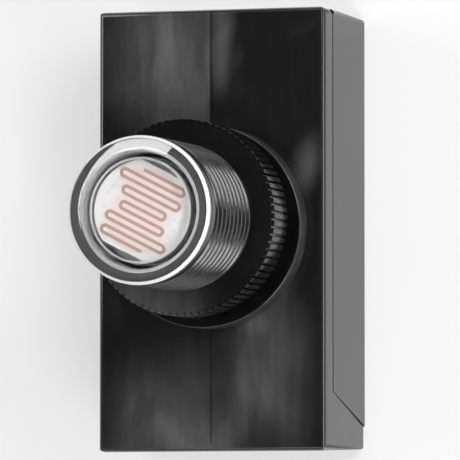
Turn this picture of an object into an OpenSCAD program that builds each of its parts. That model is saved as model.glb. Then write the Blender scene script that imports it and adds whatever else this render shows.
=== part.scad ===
// Stem-mounting photocell switch. A black box carries a threaded stem with a clear lens over a
// light-sensitive cell, and a knurled lock nut clamps it in a panel hole against a loose washer.
// It lies on its back: +Z runs up the stem and +Y along the box's long side, from z = 0 at the back.

/* [Box] */
// Width of the box across its front face
body_w = 29.3; // [26.4:0.1:40]
// Length of the box along its long side
body_h = 54.5; // [49:0.5:80]
// Depth of the box from its back to its front face
body_d = 17; // [16.6:0.2:30]
// Radius of the box's corners and front edges
edge_r = 0.8; // [0.4:0.1:1.2]
// Radius of the box's back edges
back_r = 1.5; // [0.6:0.1:1.7]
// Distance that each end of the box leans in from front to back
end_draft = 0.5; // [0.1:0.1:1.2]
// Thickness of the front wall
front_wall = 2; // [1.4:0.1:2.4]
// Thickness of the walls at the two ends
end_wall = 1.6; // [1.2:0.1:2.2]
// Thickness of the inner side walls behind the cheeks
side_wall = 1.1; // [0.8:0.1:1.4]
// Width of the witness line down the front face
line_w = 0.3; // [0.2:0.05:0.6]
// Depth of the witness line
line_deep = 0.25; // [0.05:0.01:0.3]
// Distance from the witness line's lower end to the box's lower edge
line_stop = 1; // [0.9:0.1:4]

/* [Rear cover] */
// Thickness of the back plate
cover_t = 1.8; // [1.4:0.1:2.2]
// Thickness of the two cheeks
cheek_t = 1.2; // [0.9:0.1:1.5]
// Height that the cheeks stand out from the box's sides
cheek_proud = 0.2; // [0.1:0.05:0.4]
// Distance of the cheeks' front edges behind the box's front face
cheek_back = 3.6; // [2.6:0.1:5]
// Distance of the cheeks' lower front corners above the box's lower edge
cheek_corner = 7.35; // [6.5:0.05:10]
// Slant of the cheeks' lower edges, in degrees
cheek_slant = 17; // [8:1:19]
// Clearance between the cover and the housing
cover_fit = 0.1; // [0.05:0.01:0.2]
// Length of the snap lugs inside the cheeks
lug_l = 6; // [3:0.5:8]
// Height that the snap lugs stand in from the cheeks
lug_in = 0.6; // [0.3:0.05:0.8]
// Distance of the snap lugs from the middle of the box
lug_y = 12; // [8:0.5:16]
// Diameter of the wire outlet holes
wire_d = 3.2; // [2.4:0.1:3.6]
// Spacing of the wire outlet holes
wire_pitch = 5.4; // [4.6:0.1:5.8]

/* [Stem] */
// Outside diameter of the stem's thread
stem_d = 18; // [17:0.1:20]
// Height of the lens's front above the box's front face
stem_reach = 28; // [22:0.5:40]
// Distance of the stem's axis above the middle of the box
stem_up = 0.9; // [0:0.1:1.8]
// Width of the ledge inside the stem that carries the cell's holder
ledge_w = 1.55; // [1:0.05:1.9]
// Depth of the thread, at whose middle the nut meshes with the stem
thread_deep = 0.92; // [0.5:0.02:1.2]
// Length of open thread groove at each end of the nut
thread_lead = 0.3; // [0.2:0.05:0.6]
// Chamfer at the stem's end
stem_chamfer = 0.3; // [0.1:0.05:0.5]

/* [Lens] */
// Step from the thread's outside in to the lens's rim
lens_step = 0.05; // [0:0.05:0.6]
// Thickness of the lens's flange
flange_t = 1.2; // [0.8:0.1:2]
// Bevel round the front of the flange
flange_bevel = 0.4; // [0.2:0.05:0.6]
// Thickness of the lens's window
window_t = 1.4; // [1:0.1:2]
// Length of the lens's spigot inside the stem
spigot_l = 4.6; // [3.8:0.1:7]
// Wall of the spigot
spigot_wall = 0.65; // [0.5:0.05:0.9]
// Clearance of the lens and the holder in the stem's bore
lens_fit = 0.1; // [0.05:0.01:0.2]

/* [Cell] */
// Diameter of the cell's disc
cell_d = 12.4; // [11.6:0.1:13]
// Width of the disc between its two flats
cell_flats = 10.9; // [10.2:0.1:11.4]
// Thickness of the disc
cell_t = 1.8; // [1:0.1:2.4]
// Clearance between the disc and the spigot
cell_gap = 0.2; // [0.1:0.05:0.4]
// Distance of the disc's face behind the front of the lens
cell_set = 2.6; // [2.2:0.1:3.2]
// Turn of the track from the box's width, in degrees
cell_turn = -27; // [-40:1:-12]
// Number of runs in the zigzag track
track_runs = 11; // [5:2:11]
// Spacing of the track's runs
track_pitch = 0.89; // [0.7:0.01:0.92]
// Width of the track
track_w = 0.4; // [0.2:0.05:0.6]
// Thickness of the track
track_t = 0.08; // [0.05:0.01:0.2]
// Half length of the runs at the middle of the disc
track_waist = 2.6; // [1.6:0.1:3.6]
// Growth of the runs' half length per distance from the middle
track_flare = 0.62; // [0.2:0.02:0.8]
// Bare margin between the track and the disc's edge
track_margin = 0.7; // [0.5:0.05:0.9]
// Thickness of the holder's flange
holder_t = 2; // [1.2:0.1:4]
// Distance between the cell's two leads
lead_pitch = 8.4; // [6:0.1:8.6]
// Diameter of the cell's leads
lead_d = 0.6; // [0.4:0.05:0.8]
// Outside diameter of the leads' sleeves
sleeve_d = 1.6; // [1.3:0.1:1.8]

/* [Rings on the stem] */
// Thickness of the sealing washer
washer_t = 3; // [1.6:0.1:5]
// Outside diameter of the sealing washer
washer_d = 25; // [24:0.1:26]
// Radius of the washer's outer edges
washer_r = 0.3; // [0.2:0.05:0.6]
// Clearance of the washer on the stem, which lets it slip sideways
washer_slack = 0.75; // [0.2:0.05:1]
// Room for the panel between the washer and the lock nut
panel_gap = 3.7; // [1:0.1:6]
// Thickness of the lock nut
nut_t = 5; // [3:0.1:8]
// Diameter of the lock nut over its teeth
nut_d = 24; // [23:0.1:27]
// Number of teeth in the nut's knurl
nut_teeth = 80; // [60:1:96]
// Depth of the teeth
tooth_deep = 0.4; // [0.3:0.05:0.7]
// Share of the teeth's pitch that the flat tips take
tooth_tip = 0.58; // [0.4:0.02:0.66]
// Share of the teeth's pitch that the flat bottoms between them take
tooth_gap = 0.2; // [0.1:0.02:0.3]
// Chamfer at the nut's ends and mouth
nut_chamfer = 0.15; // [0.1:0.05:0.6]
// Clearance of the nut on the stem, and of the slipped washer at its near side
ring_fit = 0.1; // [0.05:0.01:0.2]
// Diameter of the moulding gate's mark on the nut
gate_d = 1.2; // [0.6:0.1:1.6]
// Depth of the moulding gate's mark
gate_deep = 0.1; // [0.05:0.05:0.4]

/* [Board] */
// Thickness of the circuit board
board_t = 1.2; // [1:0.1:1.6]
// Clearance round the circuit board
board_gap = 0.3; // [0.2:0.05:0.5]
// Height of the posts under the board
post_h = 1.4; // [1.2:0.1:1.7]
// Diameter of the posts and pillars that clamp the board
post_d = 3; // [2:0.1:3.2]
// Distance of the posts from the board's side edges
post_side = 2.2; // [2:0.1:2.6]
// Distance of the posts from the board's ends
post_end = 3.4; // [3.2:0.1:3.6]
// Length of the leads below the board
lead_tail = 0.9; // [0.5:0.1:1]
// Clearance of the leads in the board's holes
hole_gap = 0.15; // [0.1:0.05:0.25]
// Distance of the wire eyelets from the board's lower edge
wire_inset = 4.4; // [4.1:0.1:5]
// Inside diameter of the wire eyelets
eyelet_d = 1.8; // [1.2:0.1:2]
// Wall of the eyelets
eyelet_t = 0.25; // [0.2:0.05:0.35]

/* [Components] */
// Distance of the large components from the board's side edges
part_inset = 0.5; // [0.3:0.1:0.7]
// Distance of the large components from the board's lower edge
part_low = 7; // [6.9:0.1:7.1]
// Width of the relay
relay_w = 10; // [8:0.5:10.5]
// Length of the relay
relay_l = 15.5; // [12:0.5:19]
// Height of the relay
relay_h = 10; // [8:0.1:10.2]
// Width of the film capacitor
film_w = 6.5; // [5:0.5:7]
// Length of the film capacitor
film_l = 13; // [10:0.5:15.5]
// Height of the film capacitor
film_h = 9.5; // [8:0.1:10.2]
// Diameter of the smoothing capacitor
can_d = 6.3; // [5:0.1:6.8]
// Height of the smoothing capacitor
can_h = 9.5; // [7:0.1:10.2]
// Diameter of the varistor
varistor_d = 7.5; // [6:0.1:9.4]
// Thickness of the varistor
varistor_t = 4.2; // [3:0.1:4.6]
// Diameter of a diode's body
diode_d = 2.6; // [2:0.1:2.8]
// Length of a diode's body
diode_l = 5; // [4:0.1:5.6]
// Diameter of the zener diode's body
zener_d = 2; // [1.4:0.1:2.6]
// Diameter of a resistor's body
resistor_d = 2.4; // [1.8:0.1:2.8]
// Length of a resistor's body
resistor_l = 4.2; // [3.2:0.1:5]
// Distance of the smoothing capacitor's axis from the board's side edge
can_side = 6.35; // [6.3:0.05:8]
// Distance of the smoothing capacitor's axis from the board's upper end
can_end = 6.15; // [6.1:0.05:7.4]
// Distance of the varistor's middle from the board's side edge
varistor_side = 6.9; // [6:0.05:9]
// Distance of the varistor's middle from the board's upper end
varistor_end = 7.35; // [7.2:0.05:7.8]
// Distance of the first diode from the board's side edge
row_side = 1.95; // [1.8:0.05:4]
// Spacing of the diodes
row_pitch = 3.2; // [3:0.05:4]
// Distance of the row of diodes below the midpoint of the stem's axis and the board's upper end
row_down = 3.4; // [2.6:0.1:4.2]
// Gap between the two resistors' leads
resistor_gap = 0.5; // [0.3:0.1:1]
// Reach of an axial component's leads before they bend down
elbow = 1; // [0.8:0.1:1.1]
// Diameter of the components' leads
pin_d = 0.7; // [0.4:0.1:0.8]
// Diameter of the transistor's round back
transistor_d = 4.6; // [4:0.1:4.8]
// Height of the transistor's body
transistor_h = 4.7; // [4:0.1:6]
// Distance of the transistor from the board's side edge
transistor_side = 3.65; // [3.2:0.05:4.2]

/* [Hidden] */
$fn = 72;
over = 1;

black = "#17171a";
half_h = body_h / 2;

// Cheeks and side walls, from the outside in
cheek_out = body_w / 2 + cheek_proud;
cheek_in = cheek_out - cheek_t;
rebate_x = cheek_in - cover_fit;
cavity_x = rebate_x - side_wall;
cavity_y = half_h - end_draft - end_wall;
cheek_z = body_d - cheek_back;
lug_z = cheek_z / 2;
lug_rise = 1.6;

// Levels through the box
board_z = cover_t + post_h;
part_z = board_z + board_t;
ceiling_z = body_d - front_wall;
tail_z = board_z - lead_tail;

// Levels up the stem
lens_z = body_d + stem_reach;
stem_end = lens_z - flange_t;
holder_top = stem_end - spigot_l;
ledge_z = holder_top - holder_t;
cell_z = lens_z - cell_set - cell_t;
nut_z = body_d + washer_t + panel_gap;

// Radii round the stem's axis
cell_r = cell_d / 2;
spigot_in = cell_r + cell_gap;
spigot_out = spigot_in + spigot_wall;
bore_r = spigot_out + lens_fit;
duct_r = bore_r - ledge_w;
thread_r = stem_d / 2;
washer_in = thread_r + washer_slack;
washer_slip = washer_slack - ring_fit;
mesh_r = thread_r - thread_deep / 2;
nut_in = mesh_r + ring_fit;
nut_r = nut_d / 2;

// Reach of an axial component's leads from its middle
diode_span = diode_l / 2 + elbow;
resistor_span = resistor_l / 2 + elbow;

// Board outline and the places of what it carries
board_w = 2 * (cavity_x - board_gap);
board_l = 2 * (cavity_y - board_gap);
post_at = [board_w / 2 - post_side, board_l / 2 - post_end];
wire_y = wire_inset - board_l / 2;
wire_at = [for (i = [-1:1]) [i * wire_pitch, wire_y]];
low_y = part_low - board_l / 2;
relay_at = [part_inset + relay_w / 2 - board_w / 2, low_y + relay_l / 2];
film_at = [board_w / 2 - part_inset - film_w / 2, low_y + film_l / 2];
can_at = [can_side - board_w / 2, board_l / 2 - can_end];
varistor_at = [board_w / 2 - varistor_side, board_l / 2 - varistor_end];
row_y = (stem_up + board_l / 2) / 2 - row_down;
row_x = [for (i = [0:4]) row_side - board_w / 2 + i * row_pitch];
diode_at = [for (i = [0:3]) [row_x[i], row_y]];
zener_at = [[row_x[4], row_y]];
resistor_x = (relay_at.x + relay_w / 2 + film_at.x - film_w / 2) / 2;
resistor_room = 2 * resistor_span + pin_d;
resistor_at = [for (i = [0, 1])
    [resistor_x, low_y + resistor_room / 2 + i * (resistor_room + resistor_gap)]];
transistor_at = [board_w / 2 - transistor_side, stem_up];

// Leads that pass through the board
relay_pins = [for (x = [-1, 1], y = [-1, 1]) relay_at + [x * relay_w / 3, y * relay_l / 2.6]];
film_pins = [for (y = [-1, 1]) film_at + [0, y * film_l / 3]];
can_pins = [for (x = [-1, 1]) can_at + [x * can_d / 5, 0]];
varistor_pins = [for (x = [-1, 1]) varistor_at + [x * varistor_d / 4, x * varistor_t / 5]];
transistor_pins = [for (i = [-1:1]) transistor_at + [i * transistor_d / 4, 0]];
function axial_pins(places, span) = [for (p = places, y = [-1, 1]) p + [0, y * span]];
pins = concat(relay_pins, film_pins, can_pins, varistor_pins, transistor_pins,
    axial_pins(diode_at, diode_span), axial_pins(zener_at, diode_span),
    axial_pins(resistor_at, resistor_span));
lead_at = [for (s = [-1, 1]) [s * cos(cell_turn), s * sin(cell_turn)] * lead_pitch / 2 + [0, stem_up]];

// Lower edge of a cheek at height z, which slants back and down
function slant_y(z) = cheek_corner - half_h - tan(cheek_slant) * (cheek_z - z);

// Reach of the track's bend between runs j and j + 1
function run_v(i) = (i - (track_runs - 1) / 2) * track_pitch;
function bend_v(j) = (run_v(j) + run_v(j + 1)) / 2;
function bend_reach(j) = min(track_waist + track_flare * abs(bend_v(j)),
    sqrt(max(0, pow(cell_r - track_margin, 2) - pow(bend_v(j), 2))));

module on_stem(z = 0) {
    translate([0, stem_up, z]) children();
}

module rounded_rect(w, h, r) {
    square([w - 2 * r, h], center = true);
    square([w, h - 2 * r], center = true);
    for (x = [-1, 1], y = [-1, 1])
        translate([x * (w / 2 - r), y * (h / 2 - r)]) circle(r);
}

// Side view of the box, Y to the right and Z up, with its ends leaning in towards the back
module end_profile() {
    lean = atan(end_draft / (body_d - edge_r));
    back_c = half_h - end_draft + tan(lean) * back_r - back_r / cos(lean);
    for (s = [0, 1]) mirror([s, 0]) {
        polygon([[0, 0], [back_c, 0],
            [back_c + back_r * cos(lean), back_r - back_r * sin(lean)],
            [half_h, body_d - edge_r], [half_h - edge_r, body_d], [0, body_d]]);
        translate([back_c, back_r]) circle(back_r);
        translate([half_h - edge_r, body_d - edge_r]) circle(edge_r);
    }
}

// The box's outside, widened by grow on each long side
module envelope(grow = 0) {
    w = body_w + 2 * grow;
    intersection() {
        linear_extrude(body_d) rounded_rect(w, body_h, edge_r);
        translate([0, 0, body_d / 2]) rotate([90, 0, 0])
            linear_extrude(body_h + over, center = true) rounded_rect(w, body_d, edge_r);
        rotate([90, 0, 90]) linear_extrude(w + over, center = true) end_profile();
    }
}

// Side outline of the cover, grown by gap where it meets the housing
module cover_profile(gap) {
    low = slant_y(-over) - gap;
    polygon([[low, -over], [slant_y(cheek_z + gap) - gap, cheek_z + gap],
        [half_h + over, cheek_z + gap], [half_h + over, -over]]);
}

// Space that the cover takes: a cheek on each side and the plate between the end walls
module cover_space(gap) {
    span = body_w + 4 * over;
    difference() {
        rotate([90, 0, 90]) linear_extrude(span, center = true) cover_profile(gap);
        translate([gap - cheek_in, -body_h, cover_t])
            cube([2 * (cheek_in - gap), 2 * body_h, body_d]);
        translate([gap - cheek_in, cavity_y - cover_fit + gap, -2 * over])
            cube([2 * (cheek_in - gap), body_h, body_d]);
    }
}

// Wedge of a snap lug on the +X cheek: sloped in front, square behind
module lug() {
    rotate([90, 0, 0]) linear_extrude(lug_l, center = true)
        polygon([[cheek_in, lug_z], [cheek_in - lug_in, lug_z], [cheek_in, lug_z + lug_rise]]);
}

// Window in the +X side wall that the lug snaps into
module lug_window() {
    translate([cavity_x - over, -lug_l / 2 - cover_fit, lug_z - cover_fit])
        cube([side_wall + 2 * over, lug_l + 2 * cover_fit, lug_rise + 2 * cover_fit]);
}

module at_lugs() {
    for (s = [0, 1], y = [-1, 1])
        mirror([s, 0, 0]) translate([0, y * lug_y, 0]) children();
}

module at_posts() {
    for (x = [-1, 1], y = [-1, 1])
        translate([x * post_at.x, y * post_at.y]) children();
}

// Sill inside the lower end, whose top the cover's slanted edge shapes
module sill() {
    translate([-cavity_x, -cavity_y, 0])
        cube([2 * cavity_x, slant_y(cover_t) + cavity_y, cover_t]);
}

module witness_line() {
    low_y = line_stop - half_h;
    translate([-line_w / 2, low_y, body_d - line_deep])
        cube([line_w, half_h - low_y + over, line_deep + over]);
}

// The stem has its thread's outside diameter, and its middle diameter where the nut meshes
module stem_outside() {
    low = nut_z - thread_lead;
    high = nut_z + nut_t + thread_lead;
    on_stem() rotate_extrude()
        polygon([[0, ceiling_z], [thread_r, ceiling_z], [thread_r, low], [mesh_r, low],
            [mesh_r, high], [thread_r, high], [thread_r, stem_end - stem_chamfer],
            [thread_r - stem_chamfer, stem_end], [0, stem_end]]);
}

module stem_bore() {
    on_stem(ceiling_z - over) cylinder(r = duct_r, h = ledge_z - ceiling_z + 2 * over);
    on_stem(ledge_z) cylinder(r = bore_r, h = stem_end - ledge_z + over);
}

module housing() color(black) difference() {
    union() {
        difference() {
            envelope();
            translate([-cavity_x, -cavity_y, -over])
                cube([2 * cavity_x, 2 * cavity_y, ceiling_z + over]);
        }
        intersection() {
            envelope();
            sill();
        }
        at_posts() translate([0, 0, part_z]) cylinder(d = post_d, h = ceiling_z - part_z + over / 2);
        stem_outside();
    }
    cover_space(cover_fit);
    at_lugs() lug_window();
    witness_line();
    stem_bore();
}

module rear_cover() color(black) {
    difference() {
        intersection() {
            envelope(cheek_proud);
            cover_space(0);
        }
        for (p = wire_at) translate([p.x, p.y, -over]) cylinder(d = wire_d, h = cover_t + 2 * over);
    }
    at_lugs() lug();
    at_posts() translate([0, 0, cover_t / 2]) cylinder(d = post_d, h = board_z - cover_t / 2);
}

module lens_cap() color("#e6ecef", 0.4) on_stem(stem_end) rotate_extrude() {
    rim = thread_r - lens_step;
    inside = flange_t - window_t;
    polygon([[0, inside], [spigot_in, inside], [spigot_in, -spigot_l], [spigot_out, -spigot_l],
        [spigot_out, 0], [rim, 0], [rim, flange_t - flange_bevel],
        [rim - flange_bevel, flange_t], [0, flange_t]]);
}

// Toothed outline of the nut: a flat tip and a narrow gap with a flat bottom for each tooth
module knurl() {
    step = 360 / nut_teeth;
    root_r = nut_r - tooth_deep;
    tooth = [[nut_r, -tooth_tip / 2], [nut_r, tooth_tip / 2],
        [root_r, (1 - tooth_gap) / 2], [root_r, (1 + tooth_gap) / 2]];
    polygon([for (i = [0:nut_teeth - 1], p = tooth)
        p[0] * [cos((i + p[1]) * step), sin((i + p[1]) * step)]]);
}

module lock_nut() color(black) on_stem(nut_z) difference() {
    mouth_r = nut_in + nut_chamfer;
    gate_r = (thread_r + nut_r) / 2;
    intersection() {
        linear_extrude(nut_t) knurl();
        rotate_extrude()
            polygon([[0, 0], [nut_r - nut_chamfer, 0], [nut_r, nut_chamfer],
                [nut_r, nut_t - nut_chamfer], [nut_r - nut_chamfer, nut_t], [0, nut_t]]);
    }
    translate([0, 0, -over]) cylinder(r = nut_in, h = nut_t + 2 * over);
    for (s = [0, 1]) translate([0, 0, s * nut_t]) mirror([0, 0, s])
        cylinder(r1 = mouth_r, r2 = nut_in, h = nut_chamfer);
    rotate(-80) translate([gate_r, 0, nut_t - gate_deep]) cylinder(d = gate_d, h = gate_deep + over);
}

// The washer lies loose on the box's front, slipped towards the box's lower end
module sealing_washer() color("#1b1b1d") translate([0, -washer_slip]) on_stem(body_d) rotate_extrude() {
    out = washer_d / 2;
    translate([washer_in, 0]) square([out - washer_r - washer_in, washer_t]);
    translate([washer_in, washer_r]) square([out - washer_in, washer_t - 2 * washer_r]);
    for (z = [washer_r, washer_t - washer_r]) translate([out - washer_r, z]) circle(washer_r);
}

module cell_disc() color("#eeeeea") on_stem(cell_z) rotate(cell_turn) intersection() {
    cylinder(r = cell_r, h = cell_t);
    translate([-cell_d, -cell_flats / 2, -over]) cube([2 * cell_d, cell_flats, cell_t + 2 * over]);
}

// Half ring that joins two runs, open towards -X
module track_bend() {
    mid = track_pitch / 2;
    difference() {
        circle(mid + track_w / 2);
        circle(mid - track_w / 2);
        translate([-2 * mid - track_w, -mid - track_w]) square([2 * mid + track_w, 2 * (mid + track_w)]);
    }
}

// Runs alternate between a bend at the +X end and a bend at the -X end
module track_plan() {
    mid = track_pitch / 2;
    for (i = [0:track_runs - 1]) {
        odd = i % 2;
        right = bend_reach(i - odd) - mid;
        left = bend_reach(i - 1 + odd) - mid;
        translate([-left, run_v(i) - track_w / 2]) square([left + right, track_w]);
    }
    for (j = [0:track_runs - 2])
        translate([0, bend_v(j)]) mirror([j % 2, 0]) translate([bend_reach(j) - mid, 0]) track_bend();
}

module cell_track() color("#b98f84") on_stem(cell_z + cell_t) rotate(cell_turn) mirror([0, 1])
    linear_extrude(track_t) track_plan();

module at_leads(z) {
    for (p = lead_at) translate([p.x, p.y, z]) children();
}

module cell_holder() color("#8d8f92") difference() {
    union() {
        on_stem(ledge_z) cylinder(r = spigot_out, h = holder_t);
        on_stem(ledge_z) cylinder(r = cell_r, h = cell_z - ledge_z);
    }
    at_leads(ledge_z - over) cylinder(d = lead_d + 2 * hole_gap, h = cell_z - ledge_z + 2 * over);
}

module cell_leads() color("#c4c6c8") at_leads(tail_z) cylinder(d = lead_d, h = cell_z - tail_z);

module lead_sleeves() color("#d8d2c0") at_leads(part_z) difference() {
    cylinder(d = sleeve_d, h = ledge_z - part_z);
    translate([0, 0, -over]) cylinder(d = lead_d + hole_gap, h = ledge_z - part_z + 2 * over);
}

module circuit_board() color("#b08a4a") difference() {
    translate([0, 0, board_z]) linear_extrude(board_t) square([board_w, board_l], center = true);
    for (p = pins) translate([p.x, p.y, board_z - over])
        cylinder(d = pin_d + 2 * hole_gap, h = board_t + 2 * over);
    at_leads(board_z - over) cylinder(d = lead_d + 2 * hole_gap, h = board_t + 2 * over);
    for (p = wire_at) translate([p.x, p.y, board_z - over])
        cylinder(d = eyelet_d + 2 * eyelet_t, h = board_t + 2 * over);
}

// Straight leads from a component's underside through the board
module straight_leads(places, top = part_z + over) {
    color("#c4c6c8") for (p = places) translate([p.x, p.y, tail_z]) cylinder(d = pin_d, h = top - tail_z);
}

module relay() {
    color("#2a4f86") translate([relay_at.x, relay_at.y, part_z])
        linear_extrude(relay_h) rounded_rect(relay_w, relay_l, edge_r);
    straight_leads(relay_pins);
}

module film_capacitor() {
    color("#c9a227") translate([film_at.x, film_at.y, part_z])
        linear_extrude(film_h) rounded_rect(film_w, film_l, edge_r);
    straight_leads(film_pins);
}

module smoothing_capacitor() {
    bead = can_d / 16;
    color("#1f2a44") translate([can_at.x, can_at.y, part_z]) rotate_extrude()
        polygon([[0, 0], [can_d / 2, 0], [can_d / 2, bead], [can_d / 2 - bead, 2 * bead],
            [can_d / 2, 3 * bead], [can_d / 2, can_h - bead / 2], [can_d / 2 - bead / 2, can_h],
            [can_d / 2 - bead, can_h], [can_d / 2 - bead, can_h - bead / 2], [0, can_h - bead / 2]]);
    straight_leads(can_pins);
}

module varistor() {
    mid_z = part_z + varistor_d / 2;
    color("#2d6aa8") translate([varistor_at.x, varistor_at.y, mid_z]) rotate([90, 0, 0])
        cylinder(d = varistor_d, h = varistor_t, center = true);
    straight_leads(varistor_pins, mid_z);
}

// Components with a body along Y and both leads bent down through the board
module axial(places, body_d, body_l, tint) {
    span = body_l / 2 + elbow;
    mid_z = part_z + body_d / 2;
    for (p = places) translate([p.x, p.y, mid_z]) {
        color(tint) rotate([90, 0, 0]) cylinder(d = body_d, h = body_l, center = true);
        color("#c4c6c8") rotate([90, 0, 0]) cylinder(d = pin_d, h = 2 * span, center = true);
        color("#c4c6c8") for (y = [-span, span]) translate([0, y, 0]) {
            sphere(d = pin_d);
            translate([0, 0, tail_z - mid_z]) cylinder(d = pin_d, h = mid_z - tail_z);
        }
    }
}

module rectifier_diodes() axial(diode_at, diode_d, diode_l, "#1c1c1e");
module zener_diode() axial(zener_at, zener_d, diode_l, "#b5562b");
module resistors() axial(resistor_at, resistor_d, resistor_l, "#c8b48c");

module transistor() {
    color("#1c1c1e") translate([transistor_at.x, transistor_at.y, part_z]) difference() {
        cylinder(d = transistor_d, h = transistor_h);
        translate([-transistor_d, -transistor_d - transistor_d / 4, -over])
            cube([2 * transistor_d, transistor_d, transistor_h + 2 * over]);
    }
    straight_leads(transistor_pins);
}

module wire_eyelets() color("#c9a24a") for (p = wire_at) translate([p.x, p.y, 0]) rotate_extrude() {
    hole = eyelet_d / 2;
    barrel = hole + eyelet_t;
    lip = barrel + 2 * eyelet_t;
    polygon([[hole, board_z - eyelet_t], [lip, board_z - eyelet_t], [lip, board_z], [barrel, board_z],
        [barrel, part_z], [lip, part_z], [lip, part_z + eyelet_t], [hole, part_z + eyelet_t]]);
}

housing();
rear_cover();
lens_cap();
lock_nut();
sealing_washer();
cell_disc();
cell_track();
cell_holder();
cell_leads();
lead_sleeves();
circuit_board();
relay();
film_capacitor();
smoothing_capacitor();
varistor();
rectifier_diodes();
zener_diode();
resistors();
transistor();
wire_eyelets();
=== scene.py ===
"""Dresses the photocell switch: a black box, a threaded stem, a clear lens over its cell, and clamp rings.

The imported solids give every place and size. Round and moulded pieces are rebuilt here with soft edges, the
stem gets its true thread, the nut its rounded teeth, and each surface a procedural finish. Lengths are in
metres, and angles in degrees unless a docstring says otherwise.
"""

import logging
import math
from collections.abc import Callable
from dataclasses import dataclass, field
from enum import Enum

import bmesh
import bpy
from mathutils import Matrix, Vector


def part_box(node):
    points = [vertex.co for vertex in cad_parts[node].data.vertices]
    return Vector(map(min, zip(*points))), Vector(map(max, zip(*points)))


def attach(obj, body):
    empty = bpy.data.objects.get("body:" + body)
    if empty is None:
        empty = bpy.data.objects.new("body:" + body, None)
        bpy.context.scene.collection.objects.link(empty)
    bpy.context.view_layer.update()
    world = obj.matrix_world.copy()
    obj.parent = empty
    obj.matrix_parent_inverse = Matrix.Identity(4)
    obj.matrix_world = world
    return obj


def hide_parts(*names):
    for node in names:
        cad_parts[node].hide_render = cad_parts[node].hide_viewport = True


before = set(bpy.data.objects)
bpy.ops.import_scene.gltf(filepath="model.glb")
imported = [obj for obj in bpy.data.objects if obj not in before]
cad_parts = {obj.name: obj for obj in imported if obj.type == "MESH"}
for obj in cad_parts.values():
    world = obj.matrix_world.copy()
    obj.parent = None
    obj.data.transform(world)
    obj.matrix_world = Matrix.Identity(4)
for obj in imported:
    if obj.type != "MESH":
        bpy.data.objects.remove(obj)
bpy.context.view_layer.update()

LOG = logging.getLogger("photocell_switch")
BODY = "root"

MM = 0.001
STEM_RADIUS = 9.0 * MM
LENS_FLANGE = 1.2 * MM
# Points that differ by less than this lie on the same plane.
NEAR = 0.01 * MM
# Turned points, and corners of the solids, that are closer than these become one.
TURNED_WELD = 0.0001 * MM
SOLID_WELD = 0.001 * MM
# Faces that meet at less than this, in degrees, are one flat face.
FLAT_ANGLE = 0.3
# A face is level where its normal's upright part is more than this.
LEVEL_RISE = 0.999
# Most of a noise pattern lies between these values.
NOISE_SPAN = (0.3, 0.7)

Colour = tuple[float, float, float]
Triple = tuple[float, float, float]
Outline = list[tuple[float, float]]
Socket = bpy.types.NodeSocket


class Gloss(Enum):
    """Mean roughness of a surface."""

    CLEAR = 0.02
    BRIGHT = 0.11
    POLISHED = 0.2
    SATIN = 0.36
    DULL = 0.55
    MATT = 0.85


class Round(Enum):
    """Number of straight steps in a full turn of a revolved piece."""

    KNURLED = 1600
    FINE = 192
    PLAIN = 96


class LensZone(Enum):
    """Kinds of surface on the lens, each with the number of its material."""

    POLISHED = 0
    HAZED = 1
    FROSTED = 2
    # Opaque grey painted in for the stem's black end seen through the clear flange, with the dim sheen on it.
    BEDDED = 3


@dataclass(frozen=True)
class Cloud:
    """A cloudy noise, in patches per metre, whose coordinates may be shifted, turned and stretched."""

    patches: float
    octaves: float = 3.0
    swirl: float = 0.0
    shift: Triple | None = None
    turn: float = 0.0
    stretch: Triple = (1, 1, 1)


@dataclass(frozen=True)
class Ramp:
    """A smooth change from low to high while a value goes from start to end."""

    start: float
    end: float
    low: float = 0.0
    high: float = 1.0


class Nodes:
    """A node tree under construction, with short calls for what materials and shapes share."""

    def __init__(self, tree: bpy.types.NodeTree) -> None:
        """Takes a tree to build in.

        Args:
            tree: Tree of a material, a world or a shape.
        """
        self.tree = tree

    def node(self, kind: str, settings: dict[str, object] | None = None, **inputs: object) -> bpy.types.Node:
        """Adds a node.

        Args:
            kind: Node type.
            settings: Node properties to set.
            **inputs: Input sockets, with underscores for spaces; a value or an output to link.

        Returns:
            The new node.
        """
        made = self.tree.nodes.new(kind)
        for key, value in (settings or {}).items():
            setattr(made, key, value)
        for key, value in inputs.items():
            self.join(made.inputs[key.replace("_", " ")], value)
        return made

    def join(self, socket: Socket, value: object) -> None:
        """Feeds an input socket.

        Args:
            socket: The socket.
            value: An output to link, or a value to set.
        """
        if isinstance(value, Socket):
            self.tree.links.new(value, socket)
        else:
            socket.default_value = value

    def combine(self, kind: str, operation: str, values: tuple[object, ...]) -> bpy.types.Node:
        """Adds a node that works on values in their order.

        Args:
            kind: Node type.
            operation: What the node does.
            values: Outputs to link or values to set.

        Returns:
            The new node.
        """
        made = self.node(kind, {"operation": operation})
        for socket, value in zip(made.inputs, values):
            self.join(socket, value)
        return made

    def math(self, operation: str, *values: object) -> Socket:
        """Combines numbers with a math node."""
        return self.combine("ShaderNodeMath", operation, values).outputs["Value"]

    def vector(self, operation: str, *values: object) -> Socket:
        """Combines vectors with a vector math node; a length comes back as a number."""
        made = self.combine("ShaderNodeVectorMath", operation, values)
        return made.outputs["Value" if operation == "LENGTH" else "Vector"]


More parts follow.
